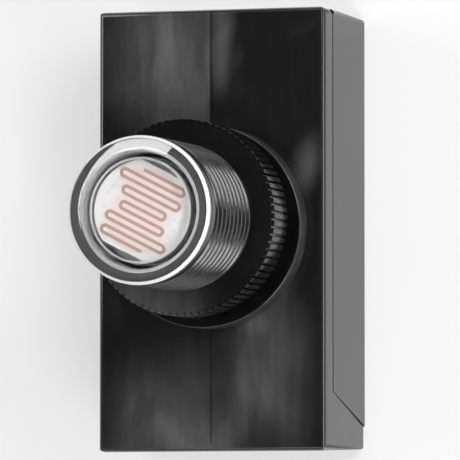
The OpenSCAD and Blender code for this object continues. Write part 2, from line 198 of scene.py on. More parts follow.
class Shader(Nodes):
    """One material's node tree, with short calls for the nodes that the finishes share."""

    def __init__(self, name: str) -> None:
        """Starts a material with one Principled shader.

        Args:
            name: Name of the material.
        """
        self.material = bpy.data.materials.new(name)
        self.material.use_nodes = True
        super().__init__(self.material.node_tree)
        self.body = self.tree.nodes["Principled BSDF"]
        self.place = self.node("ShaderNodeTexCoord").outputs["Object"]

    def fix(self, **sockets: object) -> None:
        """Sets or links sockets of the Principled shader, with underscores for spaces."""
        for key, value in sockets.items():
            self.join(self.body.inputs[key.replace("_", " ")], value)

    def shifted(self, offset: Triple, turn: float = 0.0, stretch: Triple = (1, 1, 1)) -> Socket:
        """Moves, turns and stretches the object's coordinates.

        Args:
            offset: Shift of the pattern, in metres.
            turn: Turn about Z, in degrees.
            stretch: Scale along each axis.

        Returns:
            The mapped coordinates.
        """
        mapped = self.node("ShaderNodeMapping", Vector=self.place, Location=offset, Scale=stretch,
                           Rotation=(0, 0, math.radians(turn)))
        return mapped.outputs["Vector"]

    def noise(self, cloud: Cloud) -> Socket:
        """Lays out a cloudy noise between 0 and 1.

        Args:
            cloud: The pattern.

        Returns:
            The noise value.
        """
        moved = cloud.shift is not None
        at = self.shifted(cloud.shift, cloud.turn, cloud.stretch) if moved else self.place
        made = self.node("ShaderNodeTexNoise", Vector=at, Scale=cloud.patches, Detail=cloud.octaves,
                         Distortion=cloud.swirl)
        return made.outputs["Factor" if "Factor" in made.outputs else "Fac"]

    def remap(self, value: Socket, ramp: Ramp) -> Socket:
        """Maps a value along a ramp and keeps it within the ramp's ends.

        Args:
            value: The value.
            ramp: The ramp.

        Returns:
            The mapped value.
        """
        made = self.node("ShaderNodeMapRange", {"interpolation_type": "SMOOTHSTEP"}, Value=value,
                         From_Min=ramp.start, From_Max=ramp.end, To_Min=ramp.low, To_Max=ramp.high)
        return made.outputs["Result"]

    def mix(self, factor: Socket, first: object, second: object) -> Socket:
        """Mixes two colours.

        Args:
            factor: Share of the second colour.
            first: A colour or an output.
            second: A colour or an output.

        Returns:
            The mixed colour.
        """
        made = self.node("ShaderNodeMix", {"data_type": "RGBA"})
        # The node has its sockets for numbers and vectors before those for colours.
        share, (low, high), result = made.inputs[0], made.inputs[6:8], made.outputs[2]
        self.join(share, factor)
        for socket, colour in ((low, first), (high, second)):
            self.join(socket, colour if isinstance(colour, Socket) else (*colour, 1.0))
        return result

    def relief(self, height: Socket, depth: float, under: Socket | None = None) -> Socket:
        """Turns a height pattern into a surface relief.

        Args:
            height: Pattern between 0 and 1.
            depth: Height of the relief, in metres.
            under: Normal of a coarser relief below it, or None.

        Returns:
            The bent normal.
        """
        made = self.node("ShaderNodeBump", Height=height, Distance=depth, Strength=1.0)
        if under is not None:
            self.join(made.inputs["Normal"], under)
        return made.outputs["Normal"]


@dataclass(frozen=True)
class Finish:
    """What every finish has: a main shade, a roughness that wanders, and a fine grain."""

    name: str
    shade: Colour
    gloss: Gloss
    swing: float = 0.08
    grains: float = 4200.0
    depth: float = 0.004 * MM

    @property
    def label(self) -> str:
        """Name of the material, which no material of the frame has."""
        return self.name + "_finish"

    def material(self) -> bpy.types.Material:
        """Gives the finish's material, made once."""
        return bpy.data.materials.get(self.label) or self.make()

    def make(self) -> bpy.types.Material:
        """Builds the material, which each kind of finish does in its own way."""
        raise NotImplementedError(self.name)

    def duller(self, start: float = 0.0, end: float = 1.0) -> Ramp:
        """Gives the ramp of a roughness that grows by the swing while a pattern goes from start to end."""
        return Ramp(start, end, self.gloss.value, self.gloss.value + self.swing)


@dataclass(frozen=True)
class TwoTone(Finish):
    """A plain finish: two close shades in patches, and a roughness that wanders with them."""

    second: Colour = field(kw_only=True)
    patches: float = 160.0
    metallic: float = 0.0

    def make(self) -> bpy.types.Material:
        """Builds the material.

        Returns:
            The new material.
        """
        shader = Shader(self.label)
        patch = shader.noise(Cloud(self.patches, 4.0, 0.6))
        grain = shader.noise(Cloud(self.grains, 2.0))
        rough = self.gloss.value
        wander = Ramp(*NOISE_SPAN, rough - self.swing, rough + self.swing)
        shader.fix(Base_Color=shader.mix(patch, self.shade, self.second), Metallic=self.metallic,
                   Roughness=shader.remap(patch, wander), Normal=shader.relief(grain, self.depth))
        return shader.material


@dataclass(frozen=True)
class PaintedReflection:
    """A soft patch of painted reflection on a front: grey film where the room is mirrored in the gloss, which
    may end along an upright line.
    """

    place: tuple[float, float]
    reach: tuple[float, float]
    strength: float
    turn: float = 0.0
    end: float = 1.0


@dataclass(frozen=True)
class HazeAndSheenBlack(Finish):
    """Glossy black moulding with a grey film that is partly real haze and partly painted reflection, faint
    rubbing marks and a slow moulded waviness.

    Its painted reflection patches set in between the two heights of the front, and their outlines wander.
    """

    # Grey that the film mixes towards: partly real haze, partly painted reflection.
    haze: float = 0.07
    # Patches of painted reflection: grey film where the room is mirrored in the gloss.
    painted_reflections: tuple[PaintedReflection, ...] = ()
    front: tuple[float, float] = (0.0, 1.0)
    waviness: float = 0.03 * MM
    waves: float = 55.0
    wander: float = 3.0 * MM
    wander_patches: float = 110.0
    end_fade: float = 0.2 * MM
    # Patches of the grey film, partly real haze and partly painted reflection.
    film: Cloud = Cloud(75.0, 6.0, 1.0, (0.013, 0.004, 0), 24, (1.4, 0.8, 1))
    film_level: Ramp = Ramp(0.5, 0.8, 0.04, 0.18)
    film_breaks: Ramp = Ramp(*NOISE_SPAN, 0.6, 1.25)
    rubbing: Cloud = Cloud(700.0, 4.0, 0.3, (0, 0, 0), 12, (1.0, 0.15, 0.3))
    rubbing_level: Ramp = Ramp(0.3, 0.75, 0.8, 1.15)

    def make(self) -> bpy.types.Material:
        """Builds the material.

        Returns:
            The new material.
        """
        shader = Shader(self.label)
        cloud = shader.noise(self.film)
        film = shader.remap(cloud, self.film_level)
        # The painted reflection patches add to the film.
        if self.painted_reflections:
            film = shader.math("ADD", film, self.painted_reflection_film(shader, cloud))
        rubbed = shader.remap(shader.noise(self.rubbing), self.rubbing_level)
        film = shader.math("MULTIPLY", film, rubbed)
        grey = tuple(level + self.haze for level in self.shade)
        slow = shader.relief(shader.noise(Cloud(self.waves, 1.0)), self.waviness)
        grain = shader.noise(Cloud(self.grains, 2.0))
        shader.fix(Base_Color=shader.mix(film, self.shade, grey), Roughness=shader.remap(film, self.duller()),
                   Normal=shader.relief(grain, self.depth, slow))
        return shader.material

    def painted_reflection_film(self, shader: Shader, cloud: Socket) -> Socket:
        """Adds up the painted reflection patches, with wandering outlines and broken by the cloud, on the
        front alone.

        Args:
            shader: The material's tree.
            cloud: Noise that breaks the painted reflection patches up.

        Returns:
            The strength of the painted reflection.
        """
        swirl = shader.node("ShaderNodeTexNoise", Vector=shader.place, Scale=self.wander_patches, Detail=2.0)
        centred = shader.shifted((-self.wander / 2,) * 3)
        bent = shader.vector("MULTIPLY_ADD", swirl.outputs["Color"], (self.wander,) * 3, centred)
        across, _, height = shader.node("ShaderNodeSeparateXYZ", Vector=shader.place).outputs
        total = 0.0
        for reflection in self.painted_reflections:
            local = shader.node("ShaderNodeMapping", {"vector_type": "TEXTURE"}, Vector=bent,
                                Location=(*reflection.place, 0), Scale=(*reflection.reach, 1.0),
                                Rotation=(0, 0, math.radians(reflection.turn)))
            away = shader.vector("LENGTH", local.outputs["Vector"])
            patch = shader.remap(away, Ramp(0.0, 1.0, reflection.strength, 0.0))
            kept = shader.remap(across, Ramp(reflection.end - self.end_fade, reflection.end, 1.0, 0.0))
            total = shader.math("MULTIPLY_ADD", patch, kept, total)
        broken = shader.math("MULTIPLY", total, shader.remap(cloud, self.film_breaks))
        return shader.math("MULTIPLY", broken, shader.remap(height, Ramp(*self.front)))


@dataclass(frozen=True)
class ClearPlastic(Finish):
    """Clear moulded plastic with a breath of haze and hairline marks, frosted where it isn't polished."""

    patches: float = 900.0
    index: float = 1.49
    clarity: float = 1.0
    mark_turn: float = 35.0
    mark_stretch: Triple = (1.0, 0.08, 1.0)

    def make(self) -> bpy.types.Material:
        """Builds the material.

        Returns:
            The new material.
        """
        shader = Shader(self.label)
        breath = shader.noise(Cloud(self.patches, 3.0, 0.5))
        marks = shader.noise(Cloud(self.grains, 2.0, 0.2, (0, 0, 0), self.mark_turn, self.mark_stretch))
        shader.fix(Base_Color=(*self.shade, 1.0), IOR=self.index, Transmission_Weight=self.clarity,
                   Roughness=shader.remap(breath, self.duller(0.4, 0.75)),
                   Normal=shader.relief(marks, self.depth))
        return shader.material


@dataclass(frozen=True)
class CellGlaze(Finish):
    """White cell face: pale film with grey mottling on both sides, a blush round the track, a clean rim."""

    centre: tuple[float, float] = (0.0, 0.0)
    turn: float = 0.0
    blush: Colour = (0.93, 0.82, 0.79)
    blush_reach: float = 4.6 * MM
    blush_core: float = 0.55
    film_reach: float = 5.3 * MM
    film_fade: float = 0.4 * MM
    grey: Colour = (0.5, 0.51, 0.53)
    grey_share: float = 0.4
    mottle: Cloud = Cloud(1400.0, 4.0, 0.8)
    mottle_level: Ramp = Ramp(0.42, 0.72)

    def make(self) -> bpy.types.Material:
        """Builds the material.

        Returns:
            The new material.
        """
        shader = Shader(self.label)
        local = shader.shifted((-self.centre[0], -self.centre[1], 0))
        reach = shader.vector("LENGTH", shader.vector("MULTIPLY", local, (1, 1, 0)))
        turned = shader.node("ShaderNodeVectorRotate", {"rotation_type": "Z_AXIS"}, Vector=local,
                             Angle=math.radians(-self.turn)).outputs["Vector"]
        along = shader.math("ABSOLUTE", shader.node("ShaderNodeSeparateXYZ", Vector=turned).outputs["X"])
        sides = shader.remap(along, Ramp(self.blush_reach * self.blush_core, self.blush_reach))
        mottle = shader.remap(shader.noise(self.mottle), self.mottle_level)
        inside = shader.remap(reach, Ramp(self.film_reach - self.film_fade, self.film_reach, 1.0, 0.0))
        warm = shader.math("MULTIPLY", shader.math("SUBTRACT", 1.0, sides), inside)
        spots = shader.math("MULTIPLY", shader.math("MULTIPLY", mottle, sides), inside)
        white = shader.mix(warm, self.shade, self.blush)
        shader.fix(Base_Color=shader.mix(shader.math("MULTIPLY", spots, self.grey_share), white, self.grey),
                   Roughness=shader.remap(mottle, self.duller()),
                   Normal=shader.relief(shader.noise(Cloud(self.grains)), self.depth))
        return shader.material


BLACK = (0.0045, 0.0045, 0.0048)
DEEP_BLACK = (0.002, 0.002, 0.0021)
WARM_BLACK = (0.014, 0.0138, 0.0136)
TIN = (0.58, 0.59, 0.6)
DULL_TIN = (0.42, 0.42, 0.43)

# Painted reflection on the box's front: grey patches where the room is mirrored in the gloss, broadest to the
# upper left.
FRONT_PAINTED_REFLECTIONS = (
    PaintedReflection((-4.2 * MM, 20.5 * MM), (13.0 * MM, 17.5 * MM), 0.68, turn=30, end=0.0),
    PaintedReflection((1.2 * MM, 23.5 * MM), (2.4 * MM, 9.0 * MM), 0.6),
    PaintedReflection((12.3 * MM, 8.2 * MM), (2.6 * MM, 5.2 * MM), 0.75, turn=-12),
    PaintedReflection((5.8 * MM, -11.8 * MM), (2.6 * MM, 2.2 * MM), 0.35, turn=30),
    PaintedReflection((7.9 * MM, -16.5 * MM), (7.6 * MM, 14.0 * MM), 0.66, turn=8),
    PaintedReflection((-4.0 * MM, -25.5 * MM), (13.0 * MM, 16.0 * MM), 0.58),
)
# Painted reflection on the nut's front: a lighter grey patch to the lower left.
NUT_PAINTED_REFLECTIONS = (PaintedReflection((-6.5 * MM, -11.0 * MM), (14.0 * MM, 11.0 * MM), 0.95, turn=15),)

HOUSING_PLASTIC = HazeAndSheenBlack("housing_moulding", BLACK, Gloss.BRIGHT, swing=0.2, haze=0.11,
                            painted_reflections=FRONT_PAINTED_REFLECTIONS, front=(16.8 * MM, 16.95 * MM))
COVER_PLASTIC = HazeAndSheenBlack("cover_moulding", BLACK, Gloss.BRIGHT, swing=0.2)
STEM_PLASTIC = TwoTone("stem_moulding", BLACK, Gloss.POLISHED, swing=0.06, second=WARM_BLACK, patches=700.0)
NUT_PLASTIC = HazeAndSheenBlack("nut_moulding", DEEP_BLACK, Gloss.POLISHED, swing=0.12, grains=3000.0,
                        depth=0.012 * MM, haze=0.075, painted_reflections=NUT_PAINTED_REFLECTIONS, front=(0.0, 1.0 * MM),
                        waviness=0.01 * MM)
WASHER_RUBBER = TwoTone("washer_rubber", DEEP_BLACK, Gloss.POLISHED, swing=0.05, second=BLACK, patches=420.0)
WASHER_EDGE = TwoTone("washer_cut_edge", (0.009, 0.009, 0.0095), Gloss.DULL, swing=0.1, depth=0.012 * MM,
                      second=(0.016, 0.016, 0.0165), patches=420.0)
LENS_PLASTIC = ClearPlastic("clear_lens", (1.0, 1.0, 1.0), Gloss.CLEAR, swing=0.02, grains=1500.0,
                            depth=0.0005 * MM, patches=260.0)
LENS_SEAT = ClearPlastic("hazed_lens", (0.94, 0.95, 0.95), Gloss.POLISHED, grains=3000.0,
                         depth=0.002 * MM, clarity=0.88)
LENS_FROST = ClearPlastic("frosted_lens", (0.94, 0.95, 0.95), Gloss.SATIN, grains=3000.0, clarity=0.3)
# Painted in: opaque grey for the stem's black end seen through the flange's underside, with its dim sheen.
LENS_PAINTED_STEM_END = TwoTone("bedded_lens", (0.085, 0.087, 0.088), Gloss.DULL, second=(0.105, 0.107, 0.108),
                   patches=300.0)
TRACK_FILM = TwoTone("track_film", (0.52, 0.33, 0.285), Gloss.DULL, grains=6000.0, depth=0.003 * MM,
                     second=(0.6, 0.41, 0.36), patches=900.0)
HOLDER_PLASTIC = TwoTone("holder_plastic", (0.6, 0.6, 0.6), Gloss.SATIN, second=(0.68, 0.68, 0.675))
TINNED_WIRE = TwoTone("tinned_wire", TIN, Gloss.SATIN, second=DULL_TIN, patches=600.0, metallic=1.0)
SLEEVE_PLASTIC = TwoTone("sleeve_plastic", (0.7, 0.66, 0.54), Gloss.DULL, second=(0.62, 0.58, 0.46))
BOARD_LAMINATE = TwoTone("board_laminate", (0.45, 0.27, 0.09), Gloss.SATIN, second=(0.36, 0.2, 0.06),
                         patches=900.0)
RELAY_CASE = TwoTone("relay_case", (0.03, 0.09, 0.27), Gloss.SATIN, second=(0.04, 0.11, 0.31))
FILM_CASE = TwoTone("film_case", (0.6, 0.38, 0.03), Gloss.SATIN, second=(0.52, 0.32, 0.025))
CAN_SLEEVE = TwoTone("can_sleeve", (0.014, 0.024, 0.06), Gloss.POLISHED, second=(0.02, 0.03, 0.075))
VARISTOR_COAT = TwoTone("varistor_coat", (0.03, 0.15, 0.4), Gloss.SATIN, grains=1800.0, depth=0.02 * MM,
                        second=(0.025, 0.12, 0.33))
DIODE_CASE = TwoTone("diode_case", (0.013, 0.013, 0.014), Gloss.DULL, second=(0.02, 0.02, 0.021))
ZENER_GLASS = TwoTone("zener_glass", (0.47, 0.1, 0.03), Gloss.POLISHED, second=(0.4, 0.08, 0.02))
RESISTOR_COAT = TwoTone("resistor_coat", (0.58, 0.46, 0.27), Gloss.SATIN, second=(0.5, 0.39, 0.22))
EYELET_BRASS = TwoTone("eyelet_brass", (0.6, 0.38, 0.09), Gloss.SATIN, second=(0.5, 0.31, 0.07),
                       metallic=1.0)


class Tree(Nodes):
    """A geometry node tree under construction."""

    corner_steps: int = 5
    thinnest: float = 0.02

    def __init__(self, name: str) -> None:
        """Starts a tree with one geometry input and one geometry output.

        Args:
            name: Name of the tree.
        """
        super().__init__(bpy.data.node_groups.new(name, "GeometryNodeTree"))
        for way in ("INPUT", "OUTPUT"):
            self.tree.interface.new_socket("Geometry", in_out=way, socket_type="NodeSocketGeometry")
        self.inlet = self.node("NodeGroupInput")
        self.values: dict[str, object] = {}

    def size(self, name: str, value: object, kind: str = "Float") -> Socket:
        """Adds a named input.

        Args:
            name: Name of the input.
            value: Value that the modifier gets.
            kind: Socket type after "NodeSocket".

        Returns:
            The input's output socket inside the tree.
        """
        socket = self.tree.interface.new_socket(name, in_out="INPUT", socket_type="NodeSocket" + kind)
        self.values[socket.identifier] = value
        return self.inlet.outputs[name]

    def point(self, x: object = 0.0, y: object = 0.0, z: object = 0.0) -> Socket:
        """Makes a vector from three values."""
        return self.node("ShaderNodeCombineXYZ", X=x, Y=y, Z=z).outputs[0]

    def fade(self, rise: object) -> Socket:
        """Grows from almost nothing to full over the first share of a path and shrinks over the last.

        Args:
            rise: Share of the path's length at each end.

        Returns:
            The scale along the path.
        """
        share = self.node("GeometryNodeSplineParameter").outputs["Factor"]
        nearest = self.math("MINIMUM", share, self.math("SUBTRACT", 1.0, share))
        full = self.math("MINIMUM", 1.0, self.math("DIVIDE", nearest, rise))
        return self.math("MAXIMUM", self.thinnest, full)

    def ridge(self, base: object, top: object, soft: object, height: object, sunk: object,
              turn: Triple) -> Socket:
        """Draws the section of a ridge with rounded corners, standing on the path.

        Args:
            base: Width at the foot.
            top: Width at the top.
            soft: Radius of the corners.
            height: Height above the path.
            sunk: Depth of the foot below the path.
            turn: Turn that stands the section up on its path, in radians.

        Returns:
            The section's curve.
        """
        tall = self.math("ADD", height, sunk)
        shape = self.node("GeometryNodeCurvePrimitiveQuadrilateral", {"mode": "TRAPEZOID"}, Height=tall,
                          Bottom_Width=base, Top_Width=top, Offset=0.0)
        eased = self.node("GeometryNodeFilletCurve", {"mode": "POLY"}, Curve=shape.outputs[0],
                          Count=self.corner_steps, Radius=soft, Limit_Radius=True)
        lift = self.math("SUBTRACT", self.math("MULTIPLY", tall, 0.5), sunk)
        up = self.node("GeometryNodeTransform", Geometry=eased.outputs[0], Translation=self.point(0.0, lift))
        stood = self.node("GeometryNodeTransform", Geometry=up.outputs[0], Rotation=turn)
        return stood.outputs[0]

    def close(self, geometry: Socket, place: Vector, material: bpy.types.Material) -> None:
        """Ends the tree: moves the geometry to its place, realizes it, smooths it and sets its material.

        Args:
            geometry: Geometry to end with.
            place: Place of the piece's own origin in the frame.
            material: Material of every face.
        """
        moved = self.node("GeometryNodeTransform", Geometry=geometry,
                          Translation=self.size("Place", tuple(place), "Vector"))
        real = self.node("GeometryNodeRealizeInstances", Geometry=moved.outputs[0])
        smooth = self.node("GeometryNodeSetShadeSmooth", Geometry=real.outputs[0])
        painted = self.node("GeometryNodeSetMaterial", Geometry=smooth.outputs[0],
                            Material=self.size("Finish", material, "Material"))
        self.node("NodeGroupOutput", Geometry=painted.outputs[0])

    def mesh(self, source: bpy.types.Mesh | None = None) -> bpy.types.Mesh:
        """Evaluates the tree once.

        Args:
            source: Mesh that goes into the tree, or None for an empty one.

        Returns:
            The tree's result as a plain mesh.
        """
        carrier = bpy.data.objects.new(self.tree.name, source or bpy.data.meshes.new(self.tree.name))
        bpy.context.scene.collection.objects.link(carrier)
        modifier = carrier.modifiers.new("nodes", "NODES")
        modifier.node_group = self.tree
        for identifier, value in self.values.items():
            modifier[identifier] = value
        graph = bpy.context.evaluated_depsgraph_get()
        made = bpy.data.meshes.new_from_object(carrier.evaluated_get(graph))
        carrier.modifiers.remove(modifier)
        bpy.data.objects.remove(carrier)
        return made


def soften(points: Outline, radii: list[float], steps: int = 4) -> Outline:
    """Rounds the corners of a closed outline.

    Args:
        points: Corners in order.
        radii: Reach of the rounding from each corner along its edges, 0 to keep the corner.
        steps: Straight steps in each rounding.

    Returns:
        The outline with its rounded corners.
    """
    made: Outline = []
    for i, (corner, reach) in enumerate(zip(points, radii)):
        if reach == 0:
            made.append(corner)
            continue
        here = Vector(corner)
        start = here + (Vector(points[i - 1]) - here).normalized() * reach
        end = here + (Vector(points[(i + 1) % len(points)]) - here).normalized() * reach
        for k in range(steps + 1):
            t = k / steps
            spot = start * (1 - t) ** 2 + here * (2 * t * (1 - t)) + end * t ** 2
            made.append((spot.x, spot.y))
    return made


def lathe(points: Outline, centre: Vector, turns: Round = Round.FINE) -> bmesh.types.BMesh:
    """Turns a closed outline round a vertical axis.

    Args:
        points: Outline as radius and height.
        centre: A point of the axis.
        turns: Steps in a full turn.

    Returns:
        A closed mesh with its faces outwards.
    """
    mesh = bmesh.new()
    steps = turns.value
    columns = []
    for k in range(steps):
        angle = math.tau * k / steps
        out = Vector((math.cos(angle), math.sin(angle), 0))
        columns.append([mesh.verts.new(Vector((centre.x, centre.y, z)) + out * r) for r, z in points])
    for k in range(steps):
        here, there = columns[k - 1], columns[k]
        for i in range(len(points)):
            if points[i][0] + points[i - 1][0] > 0:
                mesh.faces.new((here[i - 1], there[i - 1], there[i], here[i]))
    bmesh.ops.remove_doubles(mesh, verts=mesh.verts, dist=TURNED_WELD)
    bmesh.ops.recalc_face_normals(mesh, faces=mesh.faces)
    return mesh


def merged_copy(node: str) -> bmesh.types.BMesh:
    """Copies a CAD node's mesh and merges its loose triangles.

    Args:
        node: Name of the CAD node.

    Returns:
        The merged mesh.
    """
    mesh = bmesh.new()
    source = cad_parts[node].data
    corners = [mesh.verts.new(v.co) for v in source.vertices]
    for face in source.polygons:
        mesh.faces.new([corners[i] for i in face.vertices])
    bmesh.ops.remove_doubles(mesh, verts=mesh.verts, dist=SOLID_WELD)
    return mesh


def flatten(mesh: bmesh.types.BMesh) -> bmesh.types.BMesh:
    """Joins the triangles of each flat face into one."""
    bmesh.ops.dissolve_limit(mesh, angle_limit=math.radians(FLAT_ANGLE), verts=mesh.verts, edges=mesh.edges)
    return mesh


def is_crisp(edge: bmesh.types.BMEdge, limit: float, flats: bool) -> bool:
    """Says whether an edge stays sharp: on a border, past the limit or round a level face.

    Args:
        edge: The edge.
        limit: Angle between its faces from which it is sharp, in radians.
        flats: Whether the edges round level faces are sharp.

    Returns:
        True for a sharp edge.
    """
    if not edge.is_manifold:
        return True
    first, second = (abs(face.normal.z) > LEVEL_RISE for face in edge.link_faces)
    return edge.calc_face_angle() > limit or (flats and first != second)


def as_object(name: str, mesh: bmesh.types.BMesh, sharp: float = 34.0,
              flats: bool = False) -> bpy.types.Object:
    """Makes an object of a mesh, smooth but for its sharp edges.

    Args:
        name: Name of the piece.
        mesh: Its mesh, which is freed.
        sharp: Angle from which an edge stays sharp, in degrees.
        flats: Whether the edges round level faces stay sharp too.

    Returns:
        The object, linked to the scene.
    """
    mesh.normal_update()
    for face in mesh.faces:
        face.smooth = True
    for edge in mesh.edges:
        edge.smooth = not is_crisp(edge, math.radians(sharp), flats)
    data = bpy.data.meshes.new(name)
    mesh.to_mesh(data)
    mesh.free()
    made = bpy.data.objects.new(name, data)
    bpy.context.scene.collection.objects.link(made)
    made.modifiers.new("flat faces", "WEIGHTED_NORMAL").keep_sharp = True
    return made


def settle(piece: bpy.types.Object, finish: Finish, slot: str, *nodes: str) -> None:
    """Gives a piece its finish and body, and hides the CAD nodes that it stands for.

    Args:
        piece: The finished piece.
        finish: Its finish.
        slot: Not used.
        *nodes: CAD nodes that it replaces.
    """
    piece.data.materials.clear()
    piece.data.materials.append(finish.material())
    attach(piece, BODY)
    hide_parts(*nodes)
    LOG.info("%s: %d faces, for %s", piece.name, len(piece.data.polygons), ", ".join(nodes))


def share_out(piece: bpy.types.Object, finishes: tuple[Finish, ...],
              pick: Callable[[bpy.types.MeshPolygon], int]) -> None:
    """Gives some faces of a settled piece further finishes.

    Args:
        piece: The piece, whose first finish has number 0.
        finishes: The further finishes.
        pick: Gives the number of a face's finish.
    """
    for finish in finishes:
        piece.data.materials.append(finish.material())
    for face in piece.data.polygons:
        face.material_index = pick(face)


def finish_node(node: str, finish: Finish) -> None:
    """Gives a CAD node that stays its finish.

    Args:
        node: Name of the CAD node.
        finish: Its finish.
    """
    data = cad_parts[node].data
    data.materials.clear()
    data.materials.append(finish.material())
    LOG.info("%s: kept from the solids, %s", node, finish.name)


@dataclass
class Level:
    """Lower and upper level and outside radius of a round node, read from the frame."""

    low: float
    high: float
    radius: float

    @classmethod
    def of(cls, node: str) -> "Level":
        """Reads a round node's level and radius from its box."""
        low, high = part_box(node)
        return cls(low.z, high.z, (high.x - low.x) / 2)


def middle(node: str) -> Vector:
    """Gives the middle of a node's box."""
    low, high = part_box(node)
    return (low + high) / 2


@dataclass
class BoxShell:
    """The moulded box and its rear cover."""

    axis: Vector
    face_z: float = field(default_factory=lambda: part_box("sealing_washer")[0].z)
    stem_reach: float = STEM_RADIUS + 0.02 * MM
    front_wall: float = 2.0 * MM
    line_deep: float = 0.25 * MM
    line_fill: float = 0.15 * MM
    seam_fill: float = 0.05 * MM
    draft: float = 0.15 * MM
    slant_from: float = -19.5 * MM

    def build(self) -> None:
        """Builds the box without its stem, and the cover."""
        box = as_object("housing_box", flatten(self.box_mesh()))
        settle(box, HOUSING_PLASTIC, "housing_plastic", "housing")
        cover = as_object("rear_cover_moulding", flatten(self.cover_mesh()))
        settle(cover, COVER_PLASTIC, "housing_plastic", "rear_cover")

    def box_mesh(self) -> bmesh.types.BMesh:
        """Copies the housing, takes the stem off it, closes the front wall and softens the line on it.

        Returns:
            The box's mesh.
        """
        mesh = merged_copy("housing")
        stem = [face for face in mesh.faces if all(self.on_stem(v.co) for v in face.verts)]
        bmesh.ops.delete(mesh, geom=stem, context="FACES")
        rims = [edge for edge in mesh.edges if edge.is_boundary]
        bmesh.ops.holes_fill(mesh, edges=rims, sides=0)
        bmesh.ops.recalc_face_normals(mesh, faces=mesh.faces)
        for vert in mesh.verts:
            if abs(vert.co.z - self.face_z + self.line_deep) < NEAR:
                vert.co.z += self.line_fill
        return mesh

    def cover_mesh(self) -> bmesh.types.BMesh:
        """Copies the cover, brings its edges closer to the box for a fine seam, and gives its cheeks a draft.

        Returns:
            The cover's mesh.
        """
        mesh = merged_copy("rear_cover")
        front = max(vert.co.z for vert in mesh.verts)
        side = max(vert.co.x for vert in mesh.verts) - NEAR
        for vert in mesh.verts:
            if abs(vert.co.x) > side:
                vert.co.x -= math.copysign(self.draft * vert.co.z / front, vert.co.x)
            if vert.co.z > front - NEAR:
                vert.co.z += self.seam_fill
            if vert.co.y < self.slant_from:
                vert.co.y -= self.seam_fill
        return mesh

    def on_stem(self, point: Vector) -> bool:
        """Says whether a point of the housing belongs to the stem or its bore."""
        out = math.hypot(point.x - self.axis.x, point.y - self.axis.y)
        return out < self.stem_reach and point.z > self.face_z - self.front_wall - NEAR


@dataclass
class Stem:
    """The threaded stem: a core with the bore, a smooth neck under the lens, and a right-handed thread."""

    axis: Vector
    lens: Level = field(default_factory=lambda: Level.of("lens_cap"))
    washer: Level = field(default_factory=lambda: Level.of("sealing_washer"))
    holder: Level = field(default_factory=lambda: Level.of("cell_holder"))
    crest: float = STEM_RADIUS
    depth: float = 0.86 * MM
    pitch: float = 1.5 * MM
    crest_flat: float = 0.3 * MM
    crest_soft: float = 0.3 * MM
    foot: float = 1.44 * MM
    thread_sunk: float = 0.125 * MM
    neck: float = 1.7 * MM
    neck_inset: float = 0.05 * MM
    neck_soft: float = 0.3 * MM
    run_out_soft: float = 0.2 * MM
    flange: float = LENS_FLANGE
    bore: float = 7.15 * MM
    duct: float = 5.6 * MM
    sunk: float = 0.5 * MM
    edge: float = 0.25 * MM
    steps_per_turn: int = 96
    fade_turns: float = 0.8

    def build(self) -> None:
        """Builds the core and the thread as one piece."""
        core = self.core_mesh()
        core.from_mesh(self.thread_mesh())
        stem = as_object("threaded_stem", core, sharp=50.0)
        settle(stem, STEM_PLASTIC, "housing_plastic", "housing")

    def core_mesh(self) -> bmesh.types.BMesh:
        """Turns the stem's body: thread root, neck, end, bore and duct.

        Returns:
            The core's mesh.
        """
        root = self.crest - self.depth
        end = self.lens.high - self.flange
        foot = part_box("sealing_washer")[0].z - self.sunk
        neck = end - self.neck
        neck_r = self.crest - self.neck_inset
        corners = [(root, foot), (root, neck - self.depth), (neck_r, neck), (neck_r, end), (self.bore, end),
                   (self.bore, self.holder.low), (self.duct, self.holder.low), (self.duct, foot)]
        radii = [0, self.run_out_soft, self.neck_soft, self.edge, self.edge / 2, 0, 0, 0]
        return lathe(soften(corners, radii), self.axis)

    def thread_mesh(self) -> bpy.types.Mesh:
        """Sweeps the thread's ridge along its helix.

        Returns:
            The thread's mesh.
        """
        start = self.washer.low
        stop = self.lens.high - self.flange - self.neck
        tree = Tree("stem_thread")
        pitch = tree.size("Pitch", self.pitch)
        turns = tree.size("Turns", (stop - start) / self.pitch)
        root = tree.size("Root Radius", self.crest - self.depth)
        steps = tree.size("Steps", self.steps_per_turn, "Int")
        helix = tree.node("GeometryNodeCurveSpiral", Resolution=steps, Rotations=turns, Start_Radius=root,
                          End_Radius=root, Height=tree.math("MULTIPLY", pitch, turns), Reverse=True)
        upright = tree.node("GeometryNodeSetCurveNormal", {"mode": "Z_UP"}, Curve=helix.outputs[0])
        section = tree.ridge(tree.size("Foot Width", self.foot), tree.size("Crest Width", self.crest_flat),
                             tree.size("Crest Softness", self.crest_soft), tree.size("Depth", self.depth),
                             tree.size("Sunk", self.thread_sunk), (0, 0, -math.pi / 2))
        fade = tree.fade(tree.math("DIVIDE", tree.size("Fade Turns", self.fade_turns), turns))
        swept = tree.node("GeometryNodeCurveToMesh", Curve=upright.outputs[0], Profile_Curve=section,
                          Scale=fade, Fill_Caps=True)
        tree.close(swept.outputs[0], Vector((self.axis.x, self.axis.y, start)), STEM_PLASTIC.material())
        return tree.mesh()


